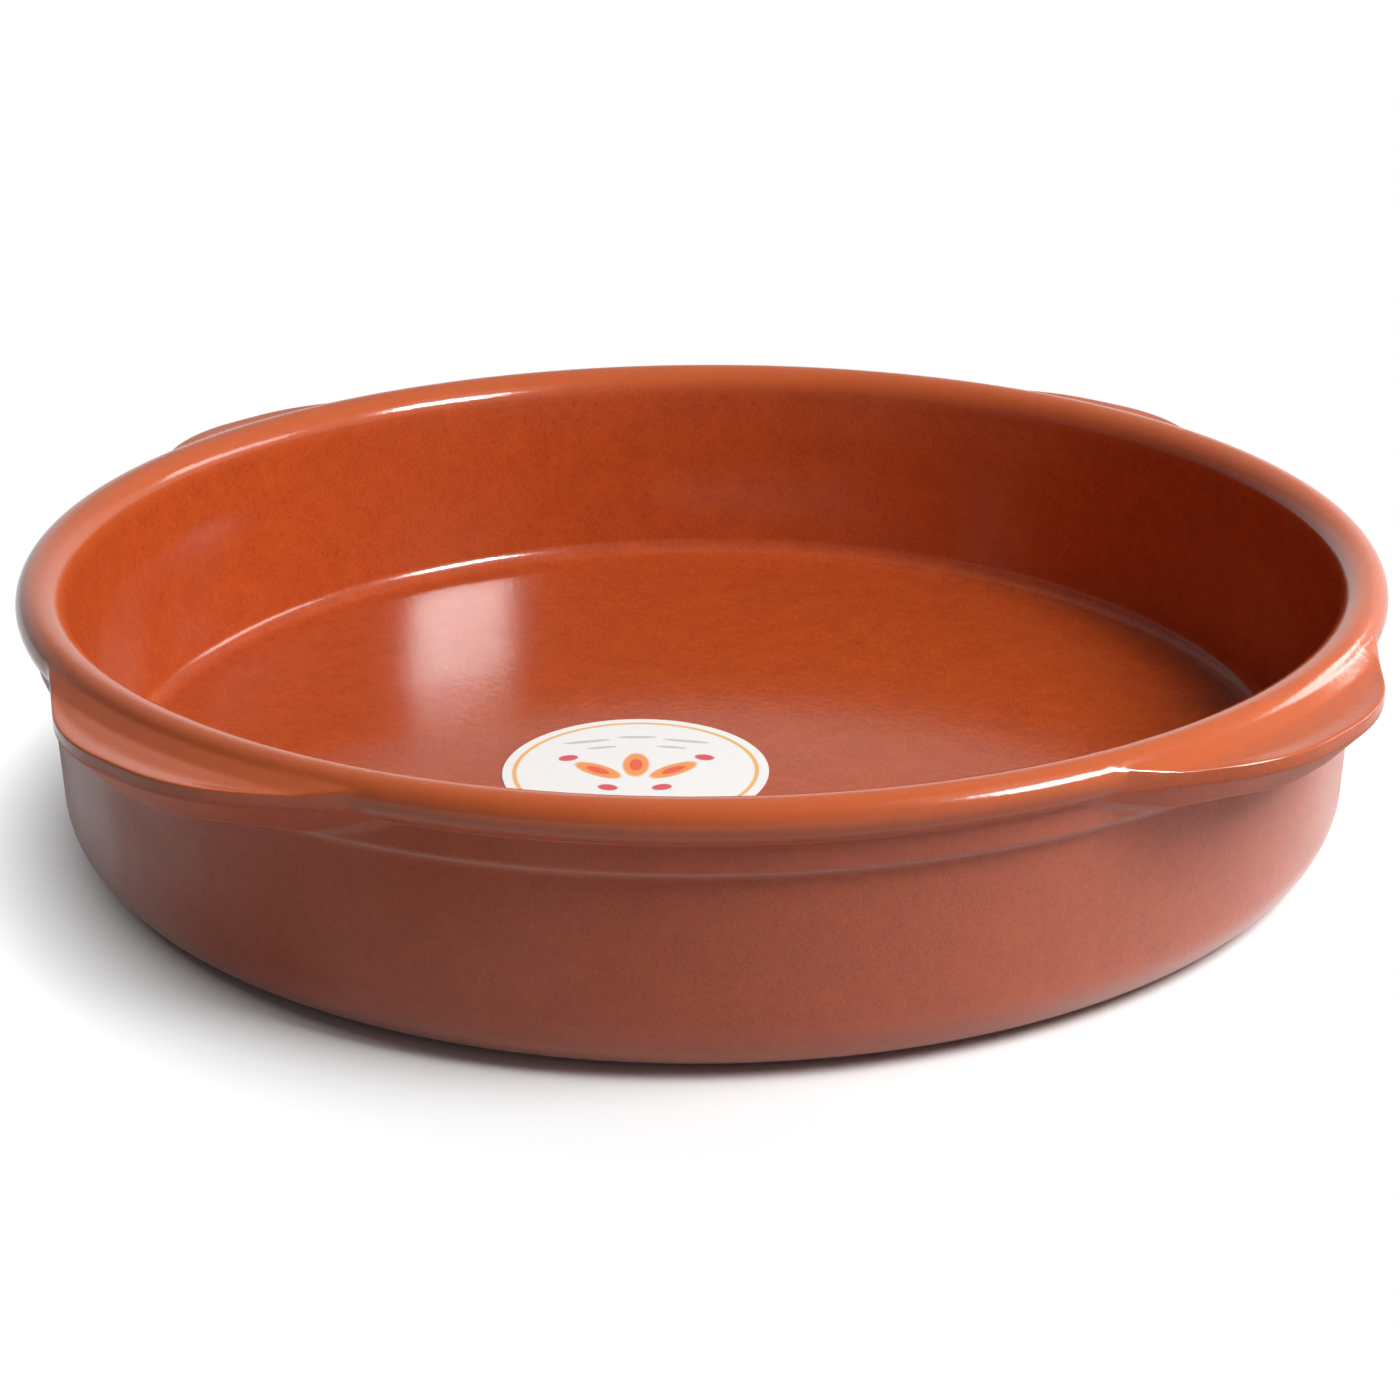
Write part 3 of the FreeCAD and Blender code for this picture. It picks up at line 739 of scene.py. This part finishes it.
def make_lamp(name, azimuth, height, distance, size, watts, glossy=True, diffuse=True):
    data = bpy.data.lights.new(name, "AREA")
    data.shape = "RECTANGLE"
    data.size, data.size_y = size
    data.energy = watts
    lamp = bpy.data.objects.new(name, data)
    bpy.context.scene.collection.objects.link(lamp)
    level = distance * math.cos(math.radians(height))
    lamp.location = from_photo(level * math.cos(math.radians(azimuth)),
                               level * math.sin(math.radians(azimuth)),
                               distance * math.sin(math.radians(height)))
    lamp.rotation_mode = "QUATERNION"
    lamp.rotation_quaternion = (from_photo(*AIM) - lamp.location).to_track_quat("-Z", "Y")
    lamp.visible_glossy = glossy
    lamp.visible_diffuse = diffuse


# The floor: half its length, and how far it lies under the base so that their faces don't meet.
# It is paler where it is seen than where it throws light back on the dish. Between these distances
# from a place a little off the dish's axis, the floor and its shadow fade into the white backdrop.
FLOOR_HALF = 3.0
FLOOR_DROP = 0.0002
FLOOR_SEEN = (0.9, 0.9, 0.9)
FLOOR_LIT = (0.45, 0.45, 0.45)
WHITE_FROM = (0.1368, 0.166)
WHITE_MIDDLE = (0.0014, -0.0038, 0.0)


def seen_directly(tree):
    """1 for camera, glossy and transmission rays, 0 for the rays that light a surface."""
    rays = tree.nodes.new("ShaderNodeLightPath").outputs
    direct = larger(tree, rays["Is Camera Ray"], rays["Is Glossy Ray"])
    return larger(tree, direct, rays["Is Transmission Ray"])


def make_floor():
    mesh = bpy.data.meshes.new("floor")
    signs = ((-1, -1), (1, -1), (1, 1), (-1, 1))
    corners = [(x * FLOOR_HALF, y * FLOOR_HALF, 0.0) for x, y in signs]
    mesh.from_pydata(corners, [], [(0, 1, 2, 3)])
    floor = bpy.data.objects.new("floor", mesh)
    bpy.context.scene.collection.objects.link(floor)
    floor.location.z = -FLOOR_DROP

    material = new_material("floor_white")
    tree = material.node_tree
    output = tree.nodes.new("ShaderNodeOutputMaterial")
    direct = seen_directly(tree)
    matt = add(tree, "ShaderNodeBsdfDiffuse")
    link(tree, mix_colour(tree, direct, FLOOR_LIT, FLOOR_SEEN), matt.inputs["Color"])
    white = add(tree, "ShaderNodeEmission", Strength=1.0)
    where = tree.nodes.new("ShaderNodeTexCoord").outputs["Object"]
    distance = add(tree, "ShaderNodeVectorMath", operation="DISTANCE")
    link(tree, where, distance.inputs[0])
    distance.inputs[1].default_value = from_photo(*WHITE_MIDDLE)
    whiteness = times(tree, above(tree, distance.outputs["Value"], WHITE_FROM), direct)
    link(tree, mix_shader(tree, whiteness, matt, white).outputs[0], output.inputs[0])
    mesh.materials.append(material)


make_camera()
make_world()
make_lamp("key", *KEY, glossy=False)
make_lamp("glint", *GLINT, diffuse=False)
make_lamp("side", *SIDE, glossy=False)
make_lamp("strip", *STRIP, diffuse=False)
make_floor()

dish = build_dish()
wear(dish.data, glazed_clay())
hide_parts("cazuela")
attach(dish, "root")
wear(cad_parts["sticker"].data, paper())

bpy.context.scene.view_settings.view_transform = "Standard"
